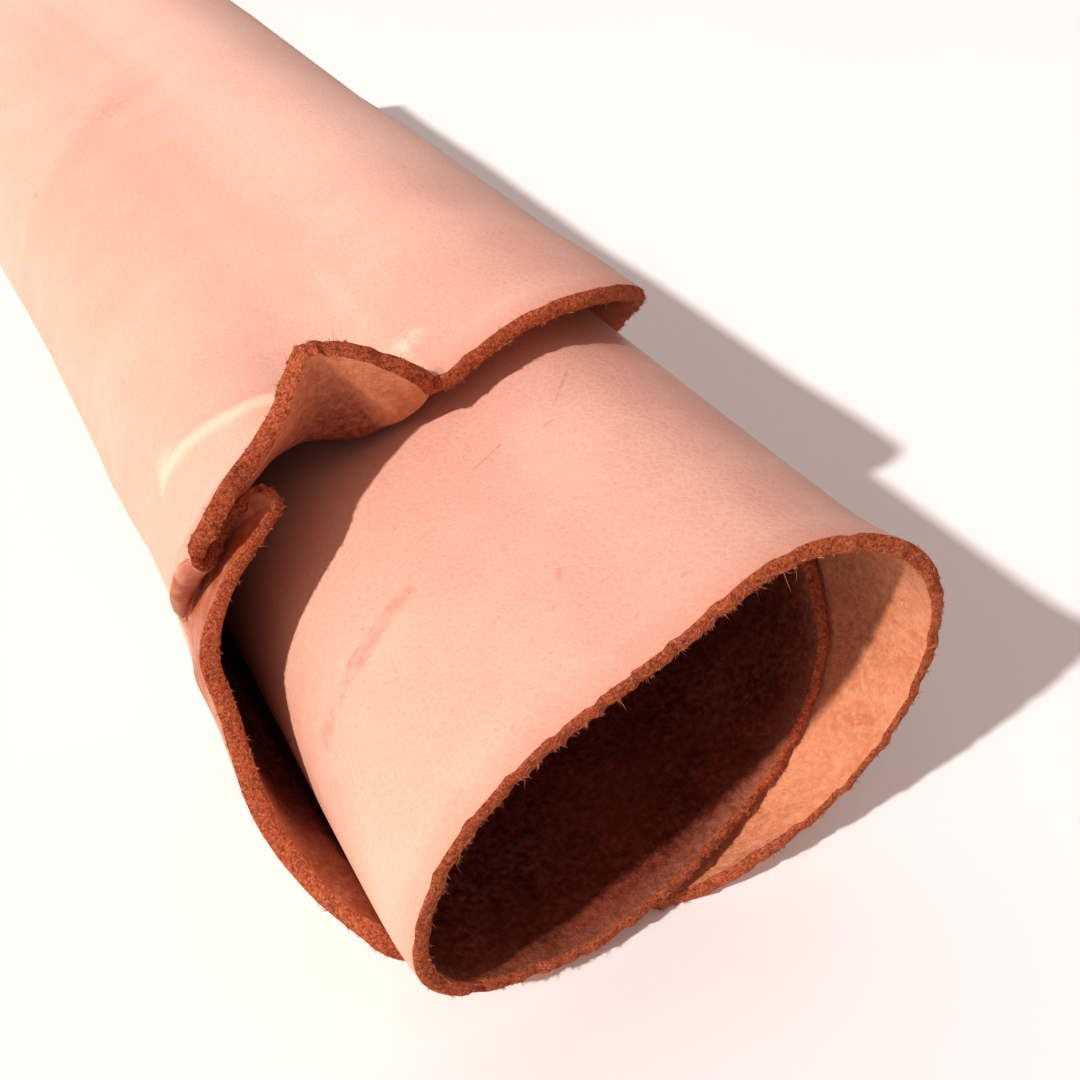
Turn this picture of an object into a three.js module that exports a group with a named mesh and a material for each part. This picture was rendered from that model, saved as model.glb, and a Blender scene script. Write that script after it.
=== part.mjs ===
// A piece of vegetable-tanned leather rolled up grain side out, one sheet in one solid, in millimetres.
// X runs across the roll, Y along it away from the open mouth, Z up. The roll rests on Z = 0.
// Sizes below are taken from the middle of the mouth, and the finished roll is moved to its place last.
import * as THREE from 'three';

// Whole roll
const ROLL_LENGTH = 500;
const TURN_PITCH = 4.0;
const REST_HEIGHT = -50.6;
const REST_PRESS = 0.4;
const LOOSE_FROM = 100;
const FLARE_REACH = 7;
const LIFT_REACH = 100;

// Outline of the innermost full turn: distances from its centre, clockwise from the top at the mouth
const CORE_HEIGHT = -4;
const CORE_RADII = [35.4, 51.2, 60.6, 57.3, 50.2, 43.0, 41.0, 47.7, 58.4, 49.3, 38.4, 32.5];

// Grid of the sheet, with more columns where the wrap's front edge is pleated and raised
const COLUMNS_PER_TURN = 30;
const FIRST_COLUMN = 1;
const LAST_COLUMN = 71;
const FINE_COLUMNS = { from: 50, to: 58, split: 4 };
const ROW_COUNTS = [2, 2, 14, 4];
const STRAIGHT_RECESS = 200;
const ROW_REACH = 40;
const ROW_LEAD = 8;
const ROW_TAIL = 12;

// Bend of the raised margin
const BEND_LENGTH = 7;
const TRAVEL_STEPS = 40;

// The pleat: how far its fold slants down the side, and where it dies out behind the mouth
const SLANT_TURNS = 0.06;
const SLANT_REACH = 22;
const SLANT_RAMPS = { start: 1.55, full: 1.735, hold: 1.79, end: 1.95 };
const RISE_FULL = 74;
const RISE_END = 98;

// How the sheet winds: its stand-off from a tight spiral, what is added to that at the back and
// at the mouth, and its thickness
const WINDING = table(['turn', 'stand', 'loose', 'flare', 'thick'], [
  [0.00, -2.4, 0.0, 0.0, 3.4],
  [0.15, -2.6, 0.0, 0.0, 3.4],
  [0.25, -2.2, 0.0, 0.0, 3.4],
  [0.38, -0.8, 0.0, 0.0, 3.4],
  [0.50, 0.0, 0.0, 0.0, 3.4],
  [0.69, 1.4, 0.0, -1.4, 3.4],
  [0.80, 0.5, 0.0, -0.5, 3.4],
  [0.90, 0.0, 0.0, 0.0, 3.4],
  [1.15, -2.6, 0.0, 2.6, 3.4],
  [1.25, -2.2, 0.0, 2.2, 3.4],
  [1.36, -0.4, 0.0, 0.4, 3.4],
  [1.42, 5.0, 0.0, -5.1, 3.4],
  [1.45, 5.4, 0.0, -5.2, 3.5],
  [1.50, 3.6, 0.0, -3.0, 3.6],
  [1.54, 3.0, 0.3, -1.6, 3.6],
  [1.58, 2.6, 1.0, -0.4, 3.7],
  [1.64, 4.6, 3.5, 0.0, 3.9],
  [1.69, 5.6, 6.0, 0.0, 4.0],
  [1.78, 5.6, 5.0, 0.0, 4.0],
  [1.90, 5.0, 3.0, 0.0, 4.0],
  [2.00, 4.4, 1.0, 0.0, 4.0],
  [2.15, 3.3, 0.0, 0.0, 4.0],
  [2.40, 1.2, 0.0, 0.0, 4.0],
]);

// The cut front edge: how far it lies behind the mouth along the sheet, where its lift is complete, and how
// far it lifts off the turn below
const EDGE = table(['turn', 'recess', 'brim', 'lift'], [
  [0.03, 34, 34, 0],
  [0.21, 29, 29, 0],
  [0.26, 18, 18, 0],
  [0.36, 8, 8, 0],
  [0.48, 1, 1, 0],
  [0.58, 0, 0, 0],
  [1.05, 0, 0, 0],
  [1.20, -2, -2, 0],
  [1.40, 0, 0, 0],
  [1.48, 4, 4, 0],
  [1.58, 14, 14, 0],
  [1.645, 13, 13, -3.0],
  [1.672, 15, 15, -3.0],
  [1.680, 24, 24, 0.5],
  [1.694, 36, 36, 3.8],
  [1.712, 46, 46, 6.4],
  [1.725, 55, 55, 7.5],
  [1.742, 64, 64, 9.2],
  [1.758, 69, 67.5, 10.5],
  [1.768, 71, 69, 11.1],
  [1.780, 69.8, 69.5, 11.6],
  [1.790, 68.8, 69.5, 11.8],
  [1.800, 67.9, 69.5, 11.8],
  [1.808, 68.4, 70.5, 11.6],
  [1.817, 70.0, 72.5, 11.2],
  [1.828, 72.2, 75.5, 10.4],
  [1.838, 74.5, 78.5, 9.4],
  [1.850, 75.3, 81.5, 7.3],
  [1.862, 73.2, 84, 4.5],
  [1.871, 70.9, 84, 2.0],
  [1.881, 67.5, 84, 0.0],
  [1.895, 62.7, 84, -2.5],
  [1.904, 62.2, 84, -3.5],
  [1.916, 63.4, 84, -4.0],
  [1.937, 66.1, 84, -4.5],
  [1.948, 68.5, 84, -4.0],
  [1.961, 71.4, 84, -3.5],
  [1.970, 74.2, 84, -2.5],
  [1.979, 78.4, 84, -1.0],
  [1.986, 83.5, 84, 1.0],
  [1.995, 82.5, 83, 2.0],
  [2.03, 82.5, 83, 2.0],
  [2.08, 82, 82, 2.4],
  [2.11, 86, 86, 2.8],
  [2.13, 92, 92, 2.2],
  [2.15, 100, 100, 1.0],
  [2.18, 116, 116, 0.4],
  [2.20, 126, 126, 0],
  [2.25, 146, 146, 0],
  [2.30, 160, 160, 0],
  [2.37, 166, 166, 0],
]);

// The raised margin, turn by turn: how far behind the mouth it starts, and how far it bends outwards
const LIP = table(['turn', 'crest', 'bend'], [
  [1.780, 83, 0],
  [1.786, 83, 3],
  [1.790, 84, 9],
  [1.800, 85, 16],
  [1.808, 86, 21],
  [1.817, 88, 25],
  [1.828, 90, 30],
  [1.838, 92, 35],
  [1.850, 94.5, 45],
  [1.862, 95.7, 57],
  [1.871, 96.5, 64],
  [1.881, 95.9, 71],
  [1.895, 94.8, 77],
  [1.904, 94.3, 78],
  [1.916, 94.6, 77],
  [1.937, 93.4, 74],
  [1.948, 92.7, 72],
  [1.961, 92.4, 68],
  [1.970, 92.0, 62],
  [1.979, 92.0, 49],
  [1.986, 92, 12],
  [2.000, 93, 0],
]);

// The pleat at the edge: how far the sheet steps up over itself
const PLEAT = table(['turn', 'rise'], [
  [1.728, 0],
  [1.742, 1.3],
  [1.754, 1.8],
  [1.780, 8.0],
  [1.790, 7.9],
  [1.800, 7.0],
  [1.817, 5.0],
  [1.838, 2.2],
  [1.862, 0],
]);

// Rows of numbers as named columns, the first of them the key
function table(names, rows) {
  const columns = { key: rows.map((row) => row[0]) };
  names.forEach((name, index) => {
    columns[name] = rows.map((row) => row[index]);
  });
  return columns;
}

function clamp(value, low, high) {
  return Math.min(Math.max(value, low), high);
}

function smooth(value) {
  const share = clamp(value, 0, 1);
  return share * share * (3 - 2 * share);
}

// Slopes of a curve through a table's rows that never overshoots them
function rowSlopes(keys, values) {
  const chords = keys.slice(1).map((key, i) => (values[i + 1] - values[i]) / (key - keys[i]));
  return keys.map((key, i) => {
    if (i === 0) {
      return chords[0];
    }
    if (i === keys.length - 1) {
      return chords[i - 1];
    }
    const product = chords[i - 1] * chords[i];
    return product > 0 ? (2 * product) / (chords[i - 1] + chords[i]) : 0;
  });
}

// Value of a table's column at a key
function read(source, name, key) {
  const keys = source.key;
  const values = source[name];
  const slopes = rowSlopes(keys, values);
  const held = clamp(key, keys[0], keys[keys.length - 1]);
  let i = 0;
  while (i < keys.length - 2 && held >= keys[i + 1]) {
    i += 1;
  }
  const width = keys[i + 1] - keys[i];
  const u = (held - keys[i]) / width;
  const start = (2 * u ** 3 - 3 * u ** 2 + 1) * values[i] + (u ** 3 - 2 * u ** 2 + u) * width * slopes[i];
  const end = (3 * u ** 2 - 2 * u ** 3) * values[i + 1] + (u ** 3 - u ** 2) * width * slopes[i + 1];
  return start + end;
}

// Point of the core outline, x across and z up
function corePoint(turn) {
  const count = CORE_RADII.length;
  const place = (turn - Math.floor(turn)) * count;
  const index = Math.floor(place);
  const u = place - index;
  const [a, b, c, d] = [-1, 0, 1, 2].map((step) => CORE_RADII[(index + step + count) % count]);
  const bowed = 2 * a - 5 * b + 4 * c - d + u * (3 * (b - c) + d - a);
  const radius = b + 0.5 * u * (c - a + u * bowed);
  const angle = 2 * Math.PI * turn;
  return new THREE.Vector2(radius * Math.sin(angle), CORE_HEIGHT + radius * Math.cos(angle));
}

// Outward direction of the core outline
function coreNormal(turn) {
  const step = 0.001;
  const along = corePoint(turn + step).sub(corePoint(turn - step)).normalize();
  return new THREE.Vector2(-along.y, along.x);
}

// Length of sheet between the back edge and the front edge
function edgeRun(turn) {
  return ROLL_LENGTH - read(EDGE, 'recess', turn);
}

// How far the sheet travels forward and rises past the margin's bend
function lipTravel(turn, past) {
  const bend = THREE.MathUtils.degToRad(read(LIP, 'bend', turn));
  const step = past / TRAVEL_STEPS;
  let forward = 0;
  let rise = 0;
  for (let i = 0; i < TRAVEL_STEPS; i += 1) {
    const heading = bend * clamp(((i + 0.5) * step) / BEND_LENGTH, 0, 1);
    forward += Math.cos(heading) * step;
    rise += Math.sin(heading) * step;
  }
  return { forward, rise };
}

// Turn that a column of the sheet reaches behind the edge, where the pleat's fold runs down the side
function slantedTurn(column, behind) {
  const { start, full, hold, end } = SLANT_RAMPS;
  const share = smooth((column - start) / (full - start)) * smooth((end - column) / (end - hold));
  return column - SLANT_TURNS * share * (1 - Math.exp(-Math.max(behind, 0) / SLANT_REACH));
}

// Point of the sheet's middle surface in a column named by its turn at the edge, a run from the back edge
function middlePoint(column, run) {
  const crest = read(LIP, 'crest', column);
  const past = Math.max(run - (ROLL_LENGTH - crest), 0);
  const { forward, rise } = lipTravel(column, past);
  const recess = past > 0 ? crest - forward : ROLL_LENGTH - run;
  const behind = recess - read(EDGE, 'brim', column);
  const turn = slantedTurn(column, behind);
  const backShare = smooth((recess - LOOSE_FROM) / (ROLL_LENGTH - LOOSE_FROM));
  const mouthShare = Math.exp(-Math.max(recess, 0) / FLARE_REACH);
  const near = clamp(1 - behind / LIFT_REACH, 0, 1);
  const riding = smooth((RISE_END - recess) / (RISE_END - RISE_FULL));
  const wound = TURN_PITCH * (turn - 1) + read(WINDING, 'stand', turn);
  const eased = read(WINDING, 'loose', turn) * backShare + read(WINDING, 'flare', turn) * mouthShare;
  const raised = read(EDGE, 'lift', turn) * near ** 2 + read(PLEAT, 'rise', column) * riding + rise;
  const point = corePoint(turn).addScaledVector(coreNormal(turn), wound + eased + raised);
  const lowest = REST_HEIGHT + 0.5 * read(WINDING, 'thick', turn) - REST_PRESS;
  return new THREE.Vector3(point.x, recess, Math.max(point.y, lowest));
}

// Turns of the columns at the front edge
function columnTurns() {
  const turns = [];
  for (let column = FIRST_COLUMN; column < LAST_COLUMN; column += 1) {
    const fine = column >= FINE_COLUMNS.from && column < FINE_COLUMNS.to;
    const split = fine ? FINE_COLUMNS.split : 1;
    for (let i = 0; i < split; i += 1) {
      turns.push((column + i / split) / COLUMNS_PER_TURN);
    }
  }
  turns.push(LAST_COLUMN / COLUMNS_PER_TURN);
  return turns;
}

// Runs of one column from the back edge to the front edge, closest together in the front margin
function columnRuns(turn) {
  const end = edgeRun(turn);
  const straight = ROLL_LENGTH - STRAIGHT_RECESS;
  const bend = Math.min(ROLL_LENGTH - read(LIP, 'crest', turn) - ROW_LEAD, end - ROW_TAIL);
  const clear = bend + ROW_REACH * (1 - Math.exp(-(end - bend) / ROW_REACH));
  const marks = [0, straight, bend, clear, end];
  const runs = [];
  ROW_COUNTS.forEach((count, part) => {
    for (let i = 0; i < count; i += 1) {
      runs.push(marks[part] + ((marks[part + 1] - marks[part]) * i) / count);
    }
  });
  runs.push(end);
  return runs;
}

// Difference between the neighbours of a grid point along one direction
function gridStep(count, index, at) {
  const low = Math.max(index - 1, 0);
  const high = Math.min(index + 1, count - 1);
  return new THREE.Vector3().subVectors(at(high), at(low)).divideScalar(high - low);
}

// The two faces of the sheet as grids of points, column by column
function sheetFaces() {
  const turns = columnTurns();
  const runs = turns.map(columnRuns);
  const middle = turns.map((turn, c) => runs[c].map((run) => middlePoint(turn, run)));
  const outer = [];
  const inner = [];
  turns.forEach((turn, c) => {
    runs[c].forEach((run, r) => {
      const across = gridStep(turns.length, c, (i) => middle[i][r]);
      const along = gridStep(runs[c].length, r, (i) => middle[c][i]);
      const normal = along.cross(across).normalize();
      const half = 0.5 * read(WINDING, 'thick', turn);
      const outside = middle[c][r].clone().addScaledVector(normal, half);
      outside.z = Math.max(outside.z, REST_HEIGHT);
      outer.push(outside);
      inner.push(middle[c][r].clone().addScaledVector(normal, -half));
    });
  });
  return { outer, inner, columns: turns.length, rows: runs[0].length };
}

// Closed mesh of the sheet: both faces and the four cut edges
function sheetGeometry() {
  const { outer, inner, columns, rows } = sheetFaces();
  const index = [];
  const out = (c, r) => c * rows + r;
  const into = (c, r) => columns * rows + c * rows + r;
  const quad = (a, b, c, d) => index.push(a, c, b, a, d, c);
  for (let c = 0; c < columns - 1; c += 1) {
    for (let r = 0; r < rows - 1; r += 1) {
      quad(out(c, r), out(c + 1, r), out(c + 1, r + 1), out(c, r + 1));
      quad(into(c, r), into(c, r + 1), into(c + 1, r + 1), into(c + 1, r));
    }
    quad(out(c, rows - 1), out(c + 1, rows - 1), into(c + 1, rows - 1), into(c, rows - 1));
    quad(out(c + 1, 0), out(c, 0), into(c, 0), into(c + 1, 0));
  }
  const last = columns - 1;
  for (let r = 0; r < rows - 1; r += 1) {
    quad(out(0, r), out(0, r + 1), into(0, r + 1), into(0, r));
    quad(out(last, r + 1), out(last, r), into(last, r), into(last, r + 1));
  }
  const geometry = new THREE.BufferGeometry().setFromPoints([...outer, ...inner]);
  geometry.setIndex(index);
  return geometry;
}

// Moves the roll so that the middle of its box's underside is the origin
function settle(geometry) {
  geometry.computeBoundingBox();
  const box = geometry.boundingBox;
  geometry.translate(-(box.min.x + box.max.x) / 2, -(box.min.y + box.max.y) / 2, -box.min.z);
  geometry.computeVertexNormals();
  return geometry;
}

const leather = new THREE.MeshStandardMaterial({
  name: 'leather',
  color: 0xe9ae8c,
  roughness: 0.6,
  metalness: 0,
});
const roll = new THREE.Mesh(settle(sheetGeometry()), leather);
roll.name = 'leather_roll';

const part = new THREE.Group();
part.name = 'rolled_leather_piece';
part.add(roll);

export default part;
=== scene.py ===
"""A rolled piece of vegetable-tanned leather: the fine sheet, its raw edges and its finish."""
import math

import bmesh
import bpy
import numpy as np
from mathutils import Matrix, Vector


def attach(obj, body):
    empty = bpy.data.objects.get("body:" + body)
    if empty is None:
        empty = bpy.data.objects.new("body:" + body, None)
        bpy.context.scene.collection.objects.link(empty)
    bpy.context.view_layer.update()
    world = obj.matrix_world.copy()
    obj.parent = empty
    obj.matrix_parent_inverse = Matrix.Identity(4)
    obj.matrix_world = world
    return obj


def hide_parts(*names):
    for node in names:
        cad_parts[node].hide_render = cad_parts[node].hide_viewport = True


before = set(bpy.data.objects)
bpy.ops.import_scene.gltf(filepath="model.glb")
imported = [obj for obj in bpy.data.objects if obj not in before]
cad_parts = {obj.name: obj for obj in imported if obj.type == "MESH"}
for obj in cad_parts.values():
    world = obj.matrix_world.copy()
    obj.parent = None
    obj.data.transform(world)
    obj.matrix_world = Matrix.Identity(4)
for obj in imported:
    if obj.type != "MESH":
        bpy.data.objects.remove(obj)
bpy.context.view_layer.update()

# Sizes are in millimetres from the middle of the mouth: X right, Y back along the roll, Z up
MM = 0.001
MOUTH_CENTRE = np.array([2.4915, -248.8916, 50.6])

# Whole roll
ROLL_LENGTH = 500.0
FIRST_TURN = 1 / 30
LAST_TURN = 71 / 30
TURN_PITCH = 4.0
REST_HEIGHT = -50.6
REST_PRESS = 0.4
LOOSE_FROM = 100.0
FLARE_REACH = 7.0
LIFT_REACH = 100.0

# Outline of the innermost full turn: distances from its centre, clockwise from the top at the mouth
CORE_HEIGHT = -4.0
CORE_RADII = np.array([35.4, 51.2, 60.6, 57.3, 50.2, 43.0, 41.0, 47.7, 58.4, 49.3, 38.4, 32.5])

# Bends of the raised margin
BEND_LENGTH = 7.0
TRAVEL_STEPS = 60

# The pleat: where its folds start and open out behind the mouth, how far they slant down the side, where the
# layers stop riding on one another, and the leather pressed thin in it
FOLD_START = 78.0
FOLD_END = 86.0
SLANT_TURNS = 0.06
SLANT_REACH = 22.0
SLANT_RAMPS = (1.55, 1.735, 1.79, 1.95)
RISE_FULL = 74.0
RISE_END = 98.0
PINCH = 0.32
PINCH_TURNS = (1.744, 1.790)
PINCH_RAMP = 0.010
PINCH_RECESS = (96.0, 82.0)

# The rubbed, tanned part of the pleat: turns between which it comes and goes, and how far back it reaches
RUBBED_RAMPS = (1.706, 1.742, 1.781, 1.787)
RUBBED_RECESS = (97.0, 79.0)

# Grid of the sheet: turns and how many columns lie between them, and rows from the back to the front
COLUMN_SPANS = (
    (FIRST_TURN, 0.20, 40),
    (0.20, 1.66, 350),
    (1.66, 1.738, 40),
    (1.738, 1.756, 28),
    (1.756, 1.784, 70),
    (1.784, 1.90, 62),
    (1.90, 2.00, 40),
    (2.00, LAST_TURN, 84),
)
ROW_COUNTS = (8, 5, 36, 14)
STRAIGHT_RECESS = 200.0
ROW_REACH = 70.0
ROW_LEAD = 38.0
ROW_TAIL = 12.0

# Raw edges: shares across the thickness, how far they bulge, the size and height of their tufts, and the
# tufts of loose fibres with their shares on the front, back, inner and outer edge
RIM_SHARES = np.array([0.0, 0.10, 0.34, 0.66, 0.90, 1.0])
RIM_BULGE = 0.6
RIM_TUFT = 0.9
RIM_ROUGH = 0.24
TUFT_COUNT = 1800
TUFT_SHARES = (0.76, 0.12, 0.06, 0.06)
TUFT_FIBRES = 8
TUFT_SPREAD = 0.3
LONG_FIBRES = 0.025
SEED = 7

# Camera, from the same middle of the mouth, and light
CAMERA_PLACE = (-94.1, -119.6, 166.0)
CAMERA_RIGHT = (0.8760, -0.4824, 0.0)
CAMERA_UP = (0.2919, 0.5300, 0.7962)
CAMERA_LENS = 40.0
SUN_DIRECTION = (-0.78, -0.17, 0.60)
SUN_STRENGTH = 3.2
SUN_ANGLE = 2.0
FILL_STRENGTH = 0.40
FILL_COLOR = (1.0, 0.84, 0.79, 1)
SOFT_SIZE = 1.2
SOFT_LIGHTS = (
    ("overhead", (0.45, 0.5, 1.2), 1.2, (1.0, 1.0, 1.0)),
    ("front", (-0.45, -0.55, 1.1), 2.5, (1.0, 0.50, 0.38)),
)
GAMMA = 0.88
FLOOR_SIZE = 12.0


def table(names, rows):
    """Rows of numbers as named columns, the first of them the key."""
    columns = np.array(rows, float).T
    return {"key": columns[0], **dict(zip(names.split(), columns))}


def read(source, name, key):
    """Value of a table's column at a key, on a smooth curve that never overshoots the rows."""
    keys, values = source["key"], source[name]
    chords = np.diff(values) / np.diff(keys)
    product = chords[:-1] * chords[1:]
    total = np.where(product > 0, chords[:-1] + chords[1:], 1)
    slopes = np.r_[chords[0], np.where(product > 0, 2 * product / total, 0), chords[-1]]
    held = np.clip(key, keys[0], keys[-1])
    i = np.clip(np.searchsorted(keys, held, side="right") - 1, 0, len(keys) - 2)
    width = keys[i + 1] - keys[i]
    u = (held - keys[i]) / width
    start = (2 * u**3 - 3 * u**2 + 1) * values[i] + (u**3 - 2 * u**2 + u) * width * slopes[i]
    end = (3 * u**2 - 2 * u**3) * values[i + 1] + (u**3 - u**2) * width * slopes[i + 1]
    return start + end


# How the sheet winds: its stand-off from a tight spiral, what is added to that at the back and at
# the mouth, and its thickness
WINDING = table("turn stand loose flare thick", [
    (0.00, -2.4, 0.0, 0.0, 3.4),
    (0.15, -2.6, 0.0, 0.0, 3.4),
    (0.25, -2.2, 0.0, 0.0, 3.4),
    (0.38, -0.8, 0.0, 0.0, 3.4),
    (0.50, 0.0, 0.0, 0.0, 3.4),
    (0.69, 1.4, 0.0, -1.4, 3.4),
    (0.80, 0.5, 0.0, -0.5, 3.4),
    (0.90, 0.0, 0.0, 0.0, 3.4),
    (1.15, -2.6, 0.0, 2.6, 3.4),
    (1.25, -2.2, 0.0, 2.2, 3.4),
    (1.36, -0.4, 0.0, 0.4, 3.4),
    (1.42, 5.0, 0.0, -5.1, 3.4),
    (1.45, 5.4, 0.0, -5.2, 3.5),
    (1.50, 3.6, 0.0, -3.0, 3.6),
    (1.54, 3.0, 0.3, -1.6, 3.6),
    (1.58, 2.6, 1.0, -0.4, 3.7),
    (1.64, 4.6, 3.5, 0.0, 3.9),
    (1.69, 5.6, 6.0, 0.0, 4.0),
    (1.78, 5.6, 5.0, 0.0, 4.0),
    (1.90, 5.0, 3.0, 0.0, 4.0),
    (2.00, 4.4, 1.0, 0.0, 4.0),
    (2.15, 3.3, 0.0, 0.0, 4.0),
    (2.40, 1.2, 0.0, 0.0, 4.0),
])

# The raised lip: where the grain side of its cut edge stands, behind the mouth and off the core, how far the
# sheet bends up to it, and how far it lifts off the turn below before the bend
RAISED_BRIM = 84.0
RAISED_THICKNESS = 4.0
RAISED = table("turn behind stand bend lift", [
    (1.862, 83.0, 30.5, 57, 4.5),
    (1.871, 84.5, 31.8, 64, 2.0),
    (1.881, 85.5, 33.3, 71, 0.0),
    (1.895, 86.0, 35.0, 77, -2.5),
    (1.904, 86.0, 34.1, 78, -3.5),
    (1.916, 86.0, 32.6, 77, -4.0),
    (1.937, 84.5, 28.0, 74, -4.5),
    (1.948, 84.0, 25.3, 72, -4.0),
    (1.961, 83.5, 22.4, 68, -3.5),
    (1.970, 83.0, 19.9, 62, -2.5),
    (1.979, 83.0, 16.6, 49, -1.0),
])


def raised_lip():
    """How far behind the mouth the raised lip's crease lies, and its cut edge if the sheet were straight."""
    turn, bend = RAISED["turn"], np.radians(RAISED["bend"])
    half = 0.5 * RAISED_THICKNESS
    radius = BEND_LENGTH / bend
    foot = TURN_PITCH * (turn - 1) + read(WINDING, "stand", turn) + RAISED["lift"]
    rise = RAISED["stand"] - half * np.cos(bend) - foot
    straight = (rise - radius * (1 - np.cos(bend))) / np.sin(bend)
    forward = radius * np.sin(bend) + straight * np.cos(bend)
    crest = RAISED["behind"] - half * np.sin(bend) + forward
    return crest, crest - BEND_LENGTH - straight


RAISED_CREST, RAISED_RECESS = raised_lip()

# The cut front edge: how far it lies behind the mouth along the sheet, where its lift is complete, and
# how far it lifts off the turn below
EDGE = table("turn recess brim lift", [
    (0.03, 34, 34, 0),
    (0.21, 29, 29, 0),
    (0.26, 19, 19, 0),
    (0.36, 10.5, 10.5, 0),
    (0.42, 7, 7, 0),
    (0.48, 3, 3, 0),
    (0.58, 0, 0, 0),
    (1.05, 0, 0, 0),
    (1.20, -2, -2, 0),
    (1.40, 0, 0, 0),
    (1.48, 4, 4, 0),
    (1.58, 14, 14, 0),
    (1.645, 13, 13, -3.0),
    (1.672, 15, 15, -3.0),
    (1.680, 24, 24, 0.5),
    (1.694, 36, 36, 3.8),
    (1.712, 46, 46, 6.4),
    (1.725, 55, 55, 7.5),
    (1.735, 61, 61, 8.4),
    (1.742, 64, 64, 9.2),
    (1.748, 65, 65, 9.7),
    (1.754, 67, 66.5, 10.2),
    (1.758, 69, 67.5, 10.5),
    (1.7605, 71.5, 68, 10.7),
    (1.7625, 73.5, 68.4, 10.8),
    (1.7645, 75, 68.7, 10.9),
    (1.768, 76, 69, 11.1),
    (1.773, 74.5, 69.3, 11.3),
    (1.776, 72, 69.4, 11.4),
    (1.778, 70.5, 69.4, 11.5),
    (1.780, 69.8, 69.5, 11.6),
    (1.786, 69.3, 69.5, 11.7),
    (1.790, 68.8, 69.5, 11.8),
    (1.800, 67.9, 69.5, 11.8),
    (1.808, 68.4, 70.5, 11.6),
    (1.817, 70.0, 72.5, 11.2),
    (1.828, 72.2, 75.5, 10.4),
    (1.838, 74.5, 78.5, 9.4),
    (1.850, 75.3, 81.5, 7.3),
    *zip(RAISED["turn"], RAISED_RECESS, np.full_like(RAISED_RECESS, RAISED_BRIM), RAISED["lift"]),
    (1.986, 83.5, 84, 1.0),
    (1.995, 82.5, 83, 2.0),
    (2.03, 82.5, 83, 2.0),
    (2.08, 82, 82, 2.4),
    (2.11, 86, 86, 2.8),
    (2.13, 92, 92, 2.2),
    (2.15, 100, 100, 1.0),
    (2.18, 116, 116, 0.4),
    (2.20, 126, 126, 0.0),
    (2.25, 146, 146, 0),
    (2.30, 160, 160, 0),
    (2.37, 166, 166, 0),
])

# The margin's crease, turn by turn: how far behind the mouth it lies and how far the sheet bends there,
# outwards if negative
LIP = table("turn crest bend", [
    (1.780, 83, 0),
    (1.786, 83, -3),
    (1.790, 84, -9),
    (1.800, 85, -16),
    (1.808, 86, -21),
    (1.817, 88, -25),
    (1.828, 90, -30),
    (1.838, 92, -35),
    (1.850, 94.5, -45),
    *zip(RAISED["turn"], RAISED_CREST, -RAISED["bend"]),
    (1.986, 92, -12),
    (2.000, 93, 0),
])

# The pleat at the edge: how far round the roll, in turns, each place of the edge is carried, how far it
# stands up on the layers below, and how far it still does where the folds have opened out
FOLD = table("turn shift rise ease", [
    (1.728, 0.0, 0.0, 0.0),
    (1.735, 0.001, 0.5, 0.5),
    (1.742, 0.005, 1.3, 1.3),
    (1.748, 0.018, 1.8, 1.6),
    (1.754, 0.039, 1.6, 1.8),
    (1.758, 0.059, 1.2, 2.3),
    (1.7605, 0.0733, 1.2, 2.9),
    (1.7625, 0.0789, 3.0, 3.4),
    (1.7645, 0.0779, 4.8, 4.0),
    (1.768, 0.0611, 4.8, 5.1),
    (1.773, 0.0336, 4.8, 6.7),
    (1.776, 0.0172, 4.9, 7.4),
    (1.778, 0.0094, 6.5, 7.8),
    (1.780, 0.0068, 8.1, 8.0),
    (1.784, 0.0045, 8.2, 8.1),
    (1.790, 0.002, 7.9, 7.9),
    (1.800, 0.0, 7.0, 7.0),
    (1.817, 0.0, 5.0, 5.0),
    (1.838, 0.0, 2.2, 2.2),
    (1.862, 0.0, 0.0, 0.0),
])

# Slow unevenness of the hide: waves per turn, wave length along the roll, phase and height
SWELLS = table("round along phase height", [
    (2.3, 260.0, 0.4, 0.45),
    (4.1, -150.0, 2.1, 0.30),
    (7.7, 90.0, 4.0, 0.20),
    (11.3, -64.0, 1.2, 0.12),
    (17.0, 47.0, 5.1, 0.08),
])

# Raggedness of the cut: waves per turn, phase and height
CUT_WAVES = table("round phase height", [
    (31.0, 0.7, 0.18),
    (57.0, 2.9, 0.14),
    (83.0, 5.0, 0.10),
])

# Painted shade on the flesh side: how far behind the front edge it starts to darken, and where it is darkest
PAINTED_SHADE = table("turn near far", [
    (0.03, -14, 8),
    (0.92, -14, 8),
    (1.02, 15, 60),
    (1.42, 15, 60),
    (1.52, 2, 24),
    (1.60, -6, 12),
    (1.74, -6, 12),
    (1.80, 0, 30),
    (1.87, -10, 30),
    (1.91, -8, 32),
    (1.94, 5, 60),
    (2.00, 5, 60),
])

# Soft creases of the wrap behind the pleat: places along them as turn and distance behind the mouth, then
# their height and width
# Width of the pale tint along the first crease, a painted highlight
STREAK_WIDTH = 2.8
STREAK = ((1.740, 129), (1.779, 125), (1.806, 119), (1.832, 112), (1.855, 109), (1.875, 103))
CREASES = (
    (STREAK, 0.9, 5.0),
    (((1.790, 104), (1.815, 100), (1.838, 98)), -0.5, 4.5),
    (((1.752, 92), (1.764, 85), (1.771, 78)), -0.45, 1.6),
    (((1.744, 84), (1.752, 78), (1.756, 70)), -0.35, 1.4),
    (((1.700, 152), (1.722, 146), (1.742, 143)), -0.5, 5.0),
    (((1.905, 150), (1.930, 128), (1.945, 112)), -0.5, 6.0),
)
TURN_LENGTH = 370.0
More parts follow.
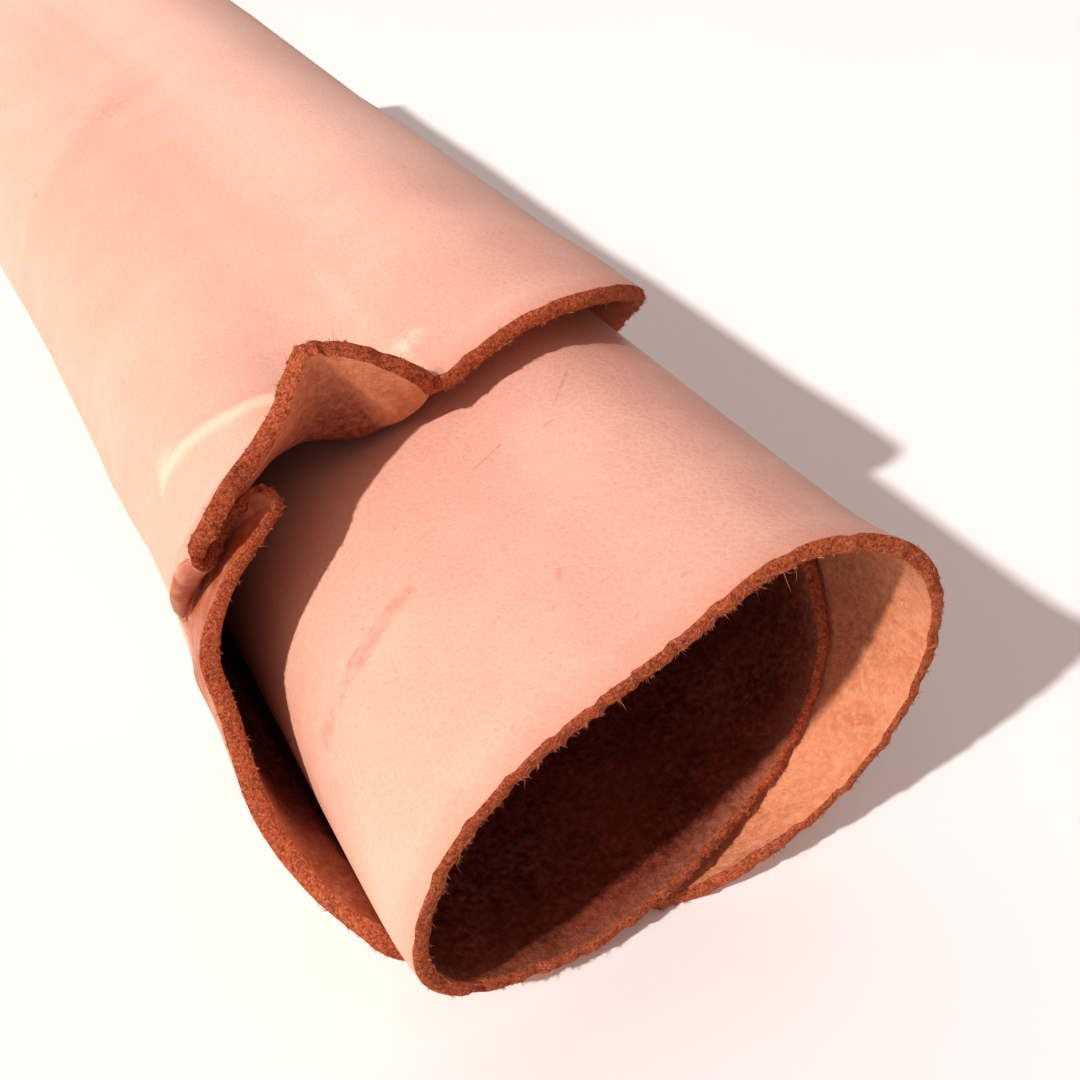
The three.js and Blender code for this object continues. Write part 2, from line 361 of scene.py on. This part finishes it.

# Marks on the grain side in metres of the part's frame: start, end, width, strength and tint; the last entry
# is a painted highlight above the notch
SCUFF_RED = (0.66, 0.26, 0.19, 1)
CRACK_BROWN = (0.40, 0.15, 0.09, 1)
# Pale tint of the painted highlight above the notch
NOTCH_HIGHLIGHT = (0.92, 0.74, 0.58, 1)
MARKS = (
    ((-0.0279, -0.2007, 0.0694), (-0.0402, -0.2040, 0.0594), 0.0030, 0.6, SCUFF_RED),
    ((-0.0402, -0.2040, 0.0594), (-0.0497, -0.2055, 0.0438), 0.0034, 0.6, SCUFF_RED),
    ((-0.0308, -0.2000, 0.0675), (-0.0420, -0.2021, 0.0574), 0.0014, 0.6, SCUFF_RED),
    ((-0.0359, 0.0511, 0.0780), (-0.0198, 0.0677, 0.0856), 0.0140, 0.24, SCUFF_RED),
    ((-0.0198, 0.0677, 0.0856), (-0.0050, 0.0678, 0.0913), 0.0140, 0.24, SCUFF_RED),
    ((0.0219, -0.1741, 0.0906), (0.0156, -0.1808, 0.0889), 0.0007, 0.5, CRACK_BROWN),
    ((0.0119, -0.1855, 0.0874), (0.0104, -0.1853, 0.0867), 0.0007, 0.5, CRACK_BROWN),
    ((0.0019, -0.1814, 0.0823), (-0.0053, -0.1830, 0.0793), 0.0006, 0.5, CRACK_BROWN),
    ((-0.0056, -0.2200, 0.0792), (-0.0066, -0.2215, 0.0788), 0.0014, 0.6, SCUFF_RED),
    ((0.0092, -0.2392, 0.0866), (0.0082, -0.2387, 0.0862), 0.0009, 0.5, CRACK_BROWN),
    ((-0.0510, 0.0553, 0.0651), (-0.0516, 0.0570, 0.0640), 0.0012, 0.5, CRACK_BROWN),
    ((-0.0226, 0.0094, 0.0838), (-0.0228, 0.0098, 0.0837), 0.0012, 0.5, CRACK_BROWN),
    # Painted highlight: a pale spot above the notch
    ((-0.0080, -0.1500, 0.0910), (-0.0030, -0.1485, 0.0925), 0.0060, 0.7, NOTCH_HIGHLIGHT),
)


def smooth(value):
    share = np.clip(value, 0, 1)
    return share * share * (3 - 2 * share)


def core_point(turn):
    """Point of the core outline, x across and z up."""
    count = len(CORE_RADII)
    place = np.mod(turn, 1) * count
    index = np.floor(place).astype(int)
    u = place - index
    a, b, c, d = (CORE_RADII[(index + step) % count] for step in (-1, 0, 1, 2))
    bowed = 2 * a - 5 * b + 4 * c - d + u * (3 * (b - c) + d - a)
    radius = b + 0.5 * u * (c - a + u * bowed)
    angle = 2 * np.pi * turn
    return np.stack([radius * np.sin(angle), CORE_HEIGHT + radius * np.cos(angle)], -1)


def core_normal(turn):
    """Outward direction of the core outline."""
    step = 0.001
    along = core_point(turn + step) - core_point(turn - step)
    along /= np.linalg.norm(along, axis=-1, keepdims=True)
    return np.stack([-along[..., 1], along[..., 0]], -1)


def edge_run(turn):
    """Length of sheet between the back edge and the ragged front edge."""
    ragged = np.zeros_like(turn)
    for round_count, phase, height in zip(CUT_WAVES["round"], CUT_WAVES["phase"], CUT_WAVES["height"]):
        ragged += height * np.sin(2 * np.pi * round_count * turn + phase)
    return ROLL_LENGTH - read(EDGE, "recess", turn) + ragged


def bend_travel(turn, past):
    """How far the sheet goes forward and drops inwards past the margin's bend."""
    bend = np.radians(read(LIP, "bend", turn))
    step = past / TRAVEL_STEPS
    forward, drop = np.zeros((2, *past.shape))
    for i in range(TRAVEL_STEPS):
        heading = bend * np.clip((i + 0.5) * step / BEND_LENGTH, 0, 1)
        forward += np.cos(heading) * step
        drop += np.sin(heading) * step
    return forward, drop


def thickness(turn, recess):
    """Thickness of the leather, pressed thinner in the pleat."""
    start, end = PINCH_TURNS
    far, full = PINCH_RECESS
    pinched = smooth((turn - start) / PINCH_RAMP) * smooth((end - turn) / PINCH_RAMP)
    pinched = pinched * smooth((far - recess) / (far - full))
    return read(WINDING, "thick", turn) * (1 - PINCH * pinched)


def swell(turn, run):
    """Slow unevenness of the hide, still at the edges of the inner turns."""
    total = np.zeros_like(turn)
    waves = zip(SWELLS["round"], SWELLS["along"], SWELLS["phase"], SWELLS["height"])
    for round_count, length, phase, height in waves:
        total += height * np.sin(2 * np.pi * (round_count * turn + run / length) + phase)
    return total * smooth((turn - 1.2) / 0.5)


def line_gap(line, turn, recess):
    """Distance of each place of the wrap from a line drawn on it."""
    place = np.stack([turn * TURN_LENGTH, recess], -1)
    knots = np.array(line) * (TURN_LENGTH, 1)
    gap = np.full(turn.shape, np.inf)
    for start, end in zip(knots, knots[1:]):
        step = end - start
        share = np.clip((place - start) @ step / (step @ step), 0, 1)
        gap = np.minimum(gap, np.linalg.norm(place - start - share[..., None] * step, axis=-1))
    return gap


def creased(turn, recess):
    """Height of the creases behind the pleat."""
    total = np.zeros_like(turn)
    for line, height, width in CREASES:
        total += height * np.exp(-(line_gap(line, turn, recess) / width) ** 2)
    return total


def slanted_turn(turn, behind):
    """Turn that a column of the sheet reaches behind the edge, where the pleat's folds run down the side."""
    start, full, hold, end = SLANT_RAMPS
    window = smooth((turn - start) / (full - start)) * smooth((end - turn) / (end - hold))
    return turn - SLANT_TURNS * window * (1 - np.exp(-np.maximum(behind, 0) / SLANT_REACH))


def folded_turn(column, recess):
    """Turn at which a column lies at a distance behind the mouth, and how far the pleat is folded there."""
    fold_start = np.minimum(read(EDGE, "recess", column), FOLD_START)
    folded = smooth((FOLD_END - recess) / (FOLD_END - fold_start))
    turn = slanted_turn(column, recess - read(EDGE, "brim", column))
    return turn + read(FOLD, "shift", column) * folded, folded


def middle_point(column, run):
    """Point of the sheet's middle surface in a column named by its turn at the edge, a run from the back."""
    crest = read(LIP, "crest", column)
    past = np.maximum(run - (ROLL_LENGTH - crest), 0)
    forward, drop = bend_travel(column, past)
    recess = np.where(past > 0, crest - forward, ROLL_LENGTH - run)
    turn, folded = folded_turn(column, recess)
    back_share = smooth((recess - LOOSE_FROM) / (ROLL_LENGTH - LOOSE_FROM))
    mouth_share = np.exp(-np.maximum(recess, 0) / FLARE_REACH)
    near = np.clip(1 - (recess - read(EDGE, "brim", column)) / LIFT_REACH, 0, 1)
    riding = smooth((RISE_END - recess) / (RISE_END - RISE_FULL))
    ridden = read(FOLD, "rise", column) * folded + read(FOLD, "ease", column) * (1 - folded)
    stand = TURN_PITCH * (turn - 1) + read(WINDING, "stand", turn) + swell(turn, run) - drop
    stand += read(WINDING, "loose", turn) * back_share + read(WINDING, "flare", turn) * mouth_share
    stand += read(EDGE, "lift", turn) * near**2 + ridden * riding + creased(turn, recess)
    point = core_point(turn) + core_normal(turn) * stand[..., None]
    lowest = REST_HEIGHT + 0.5 * thickness(column, recess) - REST_PRESS
    return np.stack([point[..., 0], recess, np.maximum(point[..., 1], lowest)], -1)


def column_turns():
    spans = [np.linspace(start, end, count, endpoint=False) for start, end, count in COLUMN_SPANS]
    return np.r_[np.concatenate(spans), LAST_TURN]


def column_runs(turns):
    """Runs of each column from the back edge to the front edge, closest together round the pleat."""
    end = edge_run(turns)
    crest_run = ROLL_LENGTH - read(LIP, "crest", turns)
    bend = np.minimum(crest_run - ROW_LEAD, end - ROW_TAIL)
    clear = bend + ROW_REACH * (1 - np.exp(-(end - bend) / ROW_REACH))
    straight = np.full_like(turns, ROLL_LENGTH - STRAIGHT_RECESS)
    marks = [np.zeros_like(turns), straight, bend, clear, end]
    parts = [np.linspace(a, b, n, endpoint=False, axis=1) for a, b, n in zip(marks, marks[1:], ROW_COUNTS)]
    return np.concatenate([*parts, end[:, None]], axis=1)


def unit(vectors):
    return vectors / np.linalg.norm(vectors, axis=-1, keepdims=True)


def sheet_faces():
    """The sheet as grids over its columns and rows: turns, runs, middle, grain face, flesh face, normals."""
    turns = column_turns()
    runs = column_runs(turns)
    turn_grid = np.repeat(turns[:, None], runs.shape[1], axis=1)
    middle = middle_point(turn_grid, runs)
    normal = unit(np.cross(np.gradient(middle, axis=1), np.gradient(middle, axis=0)))
    half = 0.5 * thickness(turn_grid, middle[..., 1])[..., None]
    grain = middle + normal * half
    grain[..., 2] = np.maximum(grain[..., 2], REST_HEIGHT)
    flesh = middle - normal * half
    grids = {"turn": turn_grid, "run": runs, "middle": middle}
    return {**grids, "grain": grain, "flesh": flesh, "normal": normal}


def rim_points(grain_line, flesh_line, outward, chance):
    """Points across a cut edge from the grain side to the flesh side, bulging and tufted in between."""
    share = RIM_SHARES[None, :, None]
    points = grain_line[:, None] * (1 - share) + flesh_line[:, None] * share
    bulge = RIM_BULGE * np.sqrt(np.clip(4 * share * (1 - share), 0, 1))
    reach = np.r_[0, np.cumsum(np.linalg.norm(np.diff(grain_line, axis=0), axis=1))]
    knots = np.arange(0, reach[-1] + RIM_TUFT, RIM_TUFT)
    tufts = [np.interp(reach, knots, chance.normal(0, RIM_ROUGH, len(knots))) for _ in RIM_SHARES]
    rough = np.stack(tufts, 1)[..., None] * bulge / RIM_BULGE
    ends = np.ones((len(grain_line), 1, 1))
    ends[[0, -1]] = 0
    return points + outward[:, None] * (bulge + rough) * ends


def strip_quads(base, columns, rows, flip):
    """Quads over a grid of points stored column by column."""
    index = base + np.arange(columns * rows).reshape(columns, rows)
    corners = [index[:-1, :-1], index[1:, :-1], index[1:, 1:], index[:-1, 1:]]
    if flip:
        corners.reverse()
    return np.stack([c.ravel() for c in corners], -1)


def to_part(points):
    """Millimetres from the mouth to metres in the part's frame."""
    placed = points + MOUTH_CENTRE
    placed[..., 2] = np.maximum(placed[..., 2], 0)
    return placed * MM


def new_mesh_object(name, points, quads, triangles=None):
    mesh = bpy.data.meshes.new(name)
    faces = quads.tolist()
    if triangles is not None:
        faces += triangles.tolist()
    mesh.from_pydata(to_part(points).tolist(), [], faces)
    mesh.polygons.foreach_set("use_smooth", np.ones(len(mesh.polygons), bool))
    thing = bpy.data.objects.new(name, mesh)
    bpy.context.scene.collection.objects.link(thing)
    return thing


def add_values(thing, name, values):
    attribute = thing.data.attributes.new(name, "FLOAT", "POINT")
    attribute.data.foreach_set("value", np.asarray(values, np.float32).ravel())


def sheet_rims(faces, chance):
    """The four cut edges as grids of points: front, back, inner end and outer end."""
    middle = faces["middle"]
    lines = (
        (np.s_[:, -1], middle[:, -1] - middle[:, -2], False),
        (np.s_[:, 0], middle[:, 0] - middle[:, 1], True),
        (np.s_[0, :], middle[0] - middle[1], True),
        (np.s_[-1, :], middle[-1] - middle[-2], False),
    )
    rims = []
    for line, outward, flip in lines:
        outward = unit(outward)
        points = rim_points(faces["grain"][line], faces["flesh"][line], outward, chance)
        rims.append({
            "line": line,
            "points": points,
            "outward": outward,
            "normal": faces["normal"][line],
            "flip": flip,
        })
    return rims


def weld(mesh):
    """Joins the sides and the cut edges where they meet, and keeps the corners between them crisp."""
    work = bmesh.new()
    work.from_mesh(mesh)
    bmesh.ops.remove_doubles(work, verts=work.verts, dist=1e-6)
    for edge in work.edges:
        edge.smooth = len({face.material_index for face in edge.link_faces}) == 1
    work.to_mesh(mesh)
    work.free()


def build_sheet(faces, rims):
    """The whole sheet as one closed mesh: grain side, flesh side and raw edges."""
    columns, rows = faces["run"].shape
    points = [faces["grain"].reshape(-1, 3), faces["flesh"].reshape(-1, 3)]
    quads = [strip_quads(0, columns, rows, True), strip_quads(columns * rows, columns, rows, False)]
    kinds = [np.zeros(len(quads[0]), int), np.ones(len(quads[1]), int)]
    base = 2 * columns * rows
    for rim in rims:
        count, across = rim["points"].shape[:2]
        quads.append(strip_quads(base, count, across, rim["flip"]))
        kinds.append(np.full(len(quads[-1]), 2))
        points.append(rim["points"].reshape(-1, 3))
        base += count * across
    thing = new_mesh_object("leather_sheet", np.concatenate(points), np.concatenate(quads))
    thing.data.polygons.foreach_set("material_index", np.concatenate(kinds))
    for name, values in sheet_values(faces).items():
        on_rims = [np.repeat(values[rim["line"]], len(RIM_SHARES)) for rim in rims]
        add_values(thing, name, np.concatenate([values.ravel(), values.ravel(), *on_rims]))
    weld(thing.data)
    return thing


def sheet_values(faces):
    """Where the colour changes: the front margin, the painted shade inside, the pale streak painted as a
    highlight and the rubbed pleat.
    """
    column, recess = faces["turn"], faces["middle"][..., 1]
    turn, _ = folded_turn(column, recess)
    # Share of painted shade on the flesh side, growing with the distance behind the front edge
    margin = edge_run(column) - faces["run"]
    near, far = read(PAINTED_SHADE, "near", column), read(PAINTED_SHADE, "far", column)
    inside = smooth((margin - near) / (far - near))
    streak = np.exp(-(line_gap(STREAK, turn, recess) / STREAK_WIDTH) ** 2)
    start, full, hold, end = RUBBED_RAMPS
    far, worn = RUBBED_RECESS
    rubbed = smooth((column - start) / (full - start)) * smooth((end - column) / (end - hold))
    rubbed = rubbed * smooth((far - recess) / (far - worn))
    return {"margin": margin, "inside": inside, "streak": streak, "rubbed": rubbed}


def tuft_roots(rims, chance):
    """Where the tufts of the raw edges start, with the edge's directions there."""
    places, alongs, outs, ups = [], [], [], []
    for rim, share in zip(rims, TUFT_SHARES):
        count = int(TUFT_COUNT * share)
        points = rim["points"]
        steps = np.linalg.norm(np.diff(points[:, 2], axis=0), axis=1)
        reach = np.r_[0, np.cumsum(steps)]
        at = chance.uniform(0, reach[-1], count)
        i = np.clip(np.searchsorted(reach, at) - 1, 0, len(steps) - 1)
        u = ((at - reach[i]) / steps[i])[:, None]
        across = chance.uniform(0, len(RIM_SHARES) - 1.001, count)
        j = across.astype(int)
        w = (across - j)[:, None]
        near = points[i, j] * (1 - w) + points[i, j + 1] * w
        far = points[i + 1, j] * (1 - w) + points[i + 1, j + 1] * w
        places.append(near * (1 - u) + far * u)
        alongs.append(unit(points[i + 1, j] - points[i, j]))
        outs.append(rim["outward"][i])
        ups.append(rim["normal"][i] * (1 - 2 * across / (len(RIM_SHARES) - 1))[:, None])
    return tuple(np.concatenate(part) for part in (places, alongs, outs, ups))


def build_fibres(rims):
    """Short curled fibres in tufts on the raw edges, as one joined mesh of tapering three-sided strands."""
    chance = np.random.default_rng(SEED)
    root, along, out, up = (np.repeat(part, TUFT_FIBRES, axis=0) for part in tuft_roots(rims, chance))
    count = len(root)
    tuft_lean = np.repeat(chance.normal(0, 0.8, (count // TUFT_FIBRES, 1)), TUFT_FIBRES, axis=0)
    root = root + along * chance.normal(0, TUFT_SPREAD, (count, 1)) + chance.normal(0, 0.08, (count, 3))
    aim = unit(0.55 * out + tuft_lean * along + 0.8 * up + chance.normal(0, 0.45, (count, 3)))
    curl = unit(np.cross(aim, chance.normal(0, 1, (count, 3)))) * chance.uniform(0.3, 1.1, (count, 1))
    length = chance.gamma(3.0, 0.17, (count, 1)) + 0.2
    length[chance.random(count) < LONG_FIBRES] *= 2.6
    width = chance.uniform(0.03, 0.06, (count, 1))
    side = unit(np.cross(aim, chance.normal(0, 1, (count, 3))))
    other = np.cross(aim, side)
    rings = []
    for gone, size in ((-0.2, 1.0), (0.5, 0.8)):
        centre = root + (aim * gone + curl * 0.6 * gone * abs(gone)) * length
        for angle in (0, 2 * np.pi / 3, 4 * np.pi / 3):
            rings.append(centre + (side * math.cos(angle) + other * math.sin(angle)) * width * size)
    rings.append(root + (aim + curl * 0.6) * length)
    points = np.stack(rings, 1)
    start = np.arange(count)[:, None, None] * points.shape[1]
    quads = start + np.array([(k, (k + 1) % 3, 3 + (k + 1) % 3, 3 + k) for k in range(3)])
    tips = start + np.array([(3, 4, 6), (4, 5, 6), (5, 3, 6), (2, 1, 0)])
    thing = new_mesh_object("edge_fibres", points.reshape(-1, 3), quads.reshape(-1, 4), tips.reshape(-1, 3))
    add_values(thing, "tone", np.repeat(chance.uniform(0, 1, count), points.shape[1]))
    return thing


class Material:
    """A material whose nodes are added and linked in one call each."""

    def __init__(self, name):
        self.made = bpy.data.materials.new(name)
        self.made.use_nodes = True
        self.tree = self.made.node_tree
        self.shader = self.tree.nodes["Principled BSDF"]

    def node(self, kind, inputs=(), **settings):
        added = self.tree.nodes.new(kind)
        for key, value in settings.items():
            setattr(added, key, value)
        for key, value in dict(inputs).items():
            self.feed(added.inputs[key], value)
        return added

    def feed(self, socket, value):
        if isinstance(value, bpy.types.NodeSocket):
            self.tree.links.new(value, socket)
        else:
            socket.default_value = value

    def noise(self, scale, detail=3.0, roughness=0.55, stretch=None):
        place = self.node("ShaderNodeTexCoord").outputs["Object"]
        if stretch:
            place = self.node("ShaderNodeMapping", {"Vector": place, "Scale": stretch}).outputs["Vector"]
        inputs = {"Vector": place, "Scale": scale, "Detail": detail, "Roughness": roughness}
        return self.node("ShaderNodeTexNoise", inputs).outputs["Fac"]

    def cells(self, scale, warp_scale, warp):
        """Distance from the lines of an uneven net."""
        place = self.node("ShaderNodeTexCoord").outputs["Object"]
        stir = self.node("ShaderNodeTexNoise", {"Vector": place, "Scale": warp_scale}).outputs["Color"]
        moved = self.vector("MULTIPLY", stir, (warp, warp, warp)).outputs["Vector"]
        warped = self.vector("ADD", place, moved).outputs["Vector"]
        inputs = {"Vector": warped, "Scale": scale}
        return self.node("ShaderNodeTexVoronoi", inputs, feature="DISTANCE_TO_EDGE").outputs["Distance"]

    def place(self, axis):
        """The surface's place along one axis of the part, in metres."""
        place = self.node("ShaderNodeTexCoord").outputs["Object"]
        return self.node("ShaderNodeSeparateXYZ", {"Vector": place}).outputs[axis]

    def ramp(self, value, low, high, to_low=0.0, to_high=1.0, curve="LINEAR"):
        inputs = {"Value": value, "From Min": low, "From Max": high, "To Min": to_low, "To Max": to_high}
        mapped = self.node("ShaderNodeMapRange", inputs, clamp=True, interpolation_type=curve)
        return mapped.outputs["Result"]

    def mix(self, share, first, second, blend="MIX"):
        added = self.node("ShaderNodeMix", data_type="RGBA", blend_type=blend)
        self.feed(added.inputs[0], share)
        self.feed(added.inputs[6], first)
        self.feed(added.inputs[7], second)
        return added.outputs[2]

    def streak(self, start, end, width, strength):
        """Strength of a straight mark between two points of the part, fading across its width."""
        step = Vector(end) - Vector(start)
        place = self.node("ShaderNodeTexCoord").outputs["Object"]
        gone = self.vector("SUBTRACT", place, start).outputs["Vector"]
        share = self.vector("DOT_PRODUCT", gone, step / step.length_squared).outputs["Value"]
        nearest = self.vector("MULTIPLY", self.ramp(share, 0.0, 1.0), step).outputs["Vector"]
        gap = self.vector("DISTANCE", gone, nearest).outputs["Value"]
        return self.ramp(gap, 0.0, width, strength, 0.0, "SMOOTHSTEP")

    def vector(self, operation, first, second):
        added = self.node("ShaderNodeVectorMath", operation=operation)
        self.feed(added.inputs[0], first)
        self.feed(added.inputs[1], second)
        return added

    def times(self, first, second):
        added = self.node("ShaderNodeMath", operation="MULTIPLY")
        self.feed(added.inputs[0], first)
        self.feed(added.inputs[1], second)
        return added.outputs[0]

    def value(self, name):
        return self.node("ShaderNodeAttribute", attribute_name=name).outputs["Fac"]

    def bump(self, height, distance, strength, under=None):
        inputs = {"Height": height, "Distance": distance, "Strength": strength}
        added = self.node("ShaderNodeBump", inputs)
        if under is not None:
            self.feed(added.inputs["Normal"], under)
        return added.outputs["Normal"]

    def finish(self, **sockets):
        names = {
            "color": "Base Color",
            "rough": "Roughness",
            "normal": "Normal",
            "specular": "Specular IOR Level",
        }
        for key, value in sockets.items():
            self.feed(self.shader.inputs[names[key]], value)
        return self.made


def grain_material():
    """Undyed grain side: peach with pinker clouds, a fine pale net, a redder margin and a few marks, with
    painted shade on the front right, painted light towards the back and painted highlights along the streak
    and above the notch.
    """
    m = Material("grain_side")
    # Painted shade and light: the front right is painted darker, as shade on the side turned from the key,
    # and the back, most of all at the right, is painted paler and cooler as painted light
    rightwards = m.ramp(m.place("X"), -0.05, 0.05)
    backwards = m.ramp(m.place("Y"), -0.16, -0.02)
    front = m.mix(rightwards, (0.80, 0.450, 0.335, 1), (0.64, 0.365, 0.300, 1))
    back = m.mix(rightwards, (0.80, 0.430, 0.320, 1), (0.82, 0.575, 0.495, 1))
    color = m.mix(backwards, front, back)
    # Painted light: paler still towards the back
    color = m.mix(m.ramp(m.place("Y"), 0.04, 0.22, 0.0, 0.75), color, (0.88, 0.640, 0.530, 1))
    color = m.mix(m.ramp(m.noise(9.0, 3.0), 0.36, 0.64, 0.0, 0.28), color, (0.77, 0.390, 0.310, 1))
    color = m.mix(m.ramp(m.noise(30.0, 4.0), 0.46, 0.72, 0.0, 0.45), color, (0.85, 0.560, 0.450, 1))
    net = m.cells(560.0, 900.0, 0.0012)
    color = m.mix(m.ramp(net, 0.0, 0.11, 0.21, 0.0), color, (0.88, 0.62, 0.50, 1))
    color = m.mix(m.ramp(m.noise(650.0, 3.0, 0.7), 0.58, 0.72, 0.0, 0.40), color, (0.64, 0.26, 0.18, 1))
    color = m.mix(m.ramp(m.value("margin"), 0.0, 7.0, 0.40, 0.0), color, (0.62, 0.24, 0.16, 1))
    # Painted highlight: pale tint along the first crease
    color = m.mix(m.ramp(m.value("streak"), 0.2, 1.0, 0.0, 0.6), color, (0.92, 0.74, 0.58, 1))
    worn = m.times(m.value("rubbed"), m.ramp(m.noise(180.0, 4.0, 0.6), 0.32, 0.60, 0.55, 1.0))
    color = m.mix(worn, color, (0.42, 0.108, 0.037, 1))
    broken = m.ramp(m.noise(420.0, 3.0, 0.6), 0.40, 0.60, 0.25, 1.0)
    # Marks, and the painted highlight above the notch
    for start, end, width, strength, tint in MARKS:
        color = m.mix(m.times(m.streak(start, end, width, strength), broken), color, tint)
    normal = m.bump(m.ramp(net, 0.0, 0.25), 0.00012, 0.35)
    normal = m.bump(m.noise(2400.0, 2.0), 0.00007, 0.3, normal)
    normal = m.bump(m.noise(330.0, 4.0, 0.6), 0.0004, 0.2, normal)
    rough = m.ramp(m.noise(140.0, 4.0), 0.3, 0.7, 0.44, 0.58)
    return m.finish(color=color, rough=rough, normal=normal, specular=0.45)


def flesh_material():
    """Suede-like flesh side: orange tan near the edges, with painted shade that makes it darker and redder
    inside, and a paler nap.
    """
    m = Material("flesh_side")
    inside = m.value("inside")
    blotches = m.ramp(m.noise(70.0, 6.0, 0.62), 0.34, 0.64)
    shallow = m.mix(blotches, (0.60, 0.205, 0.098, 1), (0.74, 0.31, 0.17, 1))
    deep = m.mix(blotches, (0.085, 0.010, 0.005, 1), (0.20, 0.030, 0.016, 1))
    nap = m.ramp(m.noise(620.0, 6.0, 0.78), 0.42, 0.64, 0.0, 0.7)
    shallow = m.mix(nap, shallow, (0.80, 0.42, 0.26, 1))
    worn = m.times(nap, m.ramp(m.noise(38.0, 4.0, 0.6), 0.42, 0.66, 0.45, 1.0))
    deep = m.mix(worn, deep, (0.46, 0.155, 0.105, 1))
    # Painted shade: the flesh turns to the dark red colour further inside
    color = m.mix(inside, shallow, deep)
    normal = m.bump(m.noise(1800.0, 4.0, 0.7), 0.0005, 0.7)
    normal = m.bump(m.noise(330.0, 4.0), 0.0016, 0.45, normal)
    return m.finish(color=color, rough=0.95, normal=normal, specular=0.1)


def edge_material():
    """Raw cut edge: matted rust fibres with paler tips."""
    m = Material("raw_edge")
    tufts = m.noise(1100.0, 5.0, 0.75)
    color = m.mix(m.ramp(tufts, 0.36, 0.56), (0.28, 0.050, 0.020, 1), (0.56, 0.145, 0.062, 1))
    color = m.mix(m.ramp(m.noise(2200.0, 3.0, 0.7), 0.50, 0.70, 0.0, 0.70), color, (0.76, 0.33, 0.19, 1))
    normal = m.bump(tufts, 0.0008, 0.9)
    return m.finish(color=color, rough=0.95, normal=normal, specular=0.1)


def fibre_material():
    """Loose edge fibres, from rust to tan."""
    m = Material("edge_fibre")
    color = m.mix(m.value("tone"), (0.42, 0.100, 0.042, 1), (0.78, 0.36, 0.20, 1))
    return m.finish(color=color, rough=0.9, specular=0.1)


def floor_material():
    m = Material("pale_floor")
    color = m.mix(m.ramp(m.noise(3.0, 2.0), 0.3, 0.7), (0.93, 0.95, 0.96, 1), (0.95, 0.97, 0.98, 1))
    return m.finish(color=color, rough=0.9, specular=0.1)


def build_floor():
    corners = np.array([(-1, -1, 0), (1, -1, 0), (1, 1, 0), (-1, 1, 0)], float) * FLOOR_SIZE / 2
    mesh = bpy.data.meshes.new("floor")
    mesh.from_pydata(corners.tolist(), [], [(0, 1, 2, 3)])
    floor = bpy.data.objects.new("floor", mesh)
    bpy.context.scene.collection.objects.link(floor)
    mesh.materials.append(floor_material())


def build_camera():
    data = bpy.data.cameras.new("camera")
    data.lens = CAMERA_LENS
    data.sensor_width = 36.0
    data.clip_start = 0.005
    camera = bpy.data.objects.new("camera", data)
    bpy.context.scene.collection.objects.link(camera)
    right, up = Vector(CAMERA_RIGHT), Vector(CAMERA_UP)
    turned = Matrix((right, up, right.cross(up))).transposed().to_4x4()
    turned.translation = Vector(to_part(np.array(CAMERA_PLACE)))
    camera.matrix_world = turned
    bpy.context.scene.camera = camera


def add_light(name, kind, strength, color):
    data = bpy.data.lights.new(name, kind)
    data.energy = strength
    data.color = color
    light = bpy.data.objects.new(name, data)
    bpy.context.scene.collection.objects.link(light)
    return light


def build_light():
    """A warm key from the left, two broad soft lights and a low fill all round."""
    key = add_light("key", "SUN", SUN_STRENGTH, (1.0, 0.98, 0.95))
    key.data.angle = math.radians(SUN_ANGLE)
    key.rotation_euler = Vector(SUN_DIRECTION).to_track_quat("Z", "Y").to_euler()
    for name, place, power, color in SOFT_LIGHTS:
        soft = add_light(name, "AREA", power, color)
        soft.data.size = SOFT_SIZE
        soft.location = place
        soft.rotation_euler = Vector(place).to_track_quat("Z", "Y").to_euler()
    world = bpy.data.worlds.new("studio")
    world.use_nodes = True
    background = world.node_tree.nodes["Background"]
    background.inputs["Color"].default_value = FILL_COLOR
    background.inputs["Strength"].default_value = FILL_STRENGTH
    bpy.context.scene.world = world
    bpy.context.scene.view_settings.view_transform = "Standard"
    bpy.context.scene.view_settings.gamma = GAMMA


def build_leather():
    chance = np.random.default_rng(SEED)
    faces = sheet_faces()
    rims = sheet_rims(faces, chance)
    sheet = build_sheet(faces, rims)
    for material in (grain_material(), flesh_material(), edge_material()):
        sheet.data.materials.append(material)
    fibres = build_fibres(rims)
    fibres.data.materials.append(fibre_material())
    for piece in (sheet, fibres):
        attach(piece, "root")
    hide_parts("leather_roll")


build_camera()
build_light()
build_floor()
build_leather()
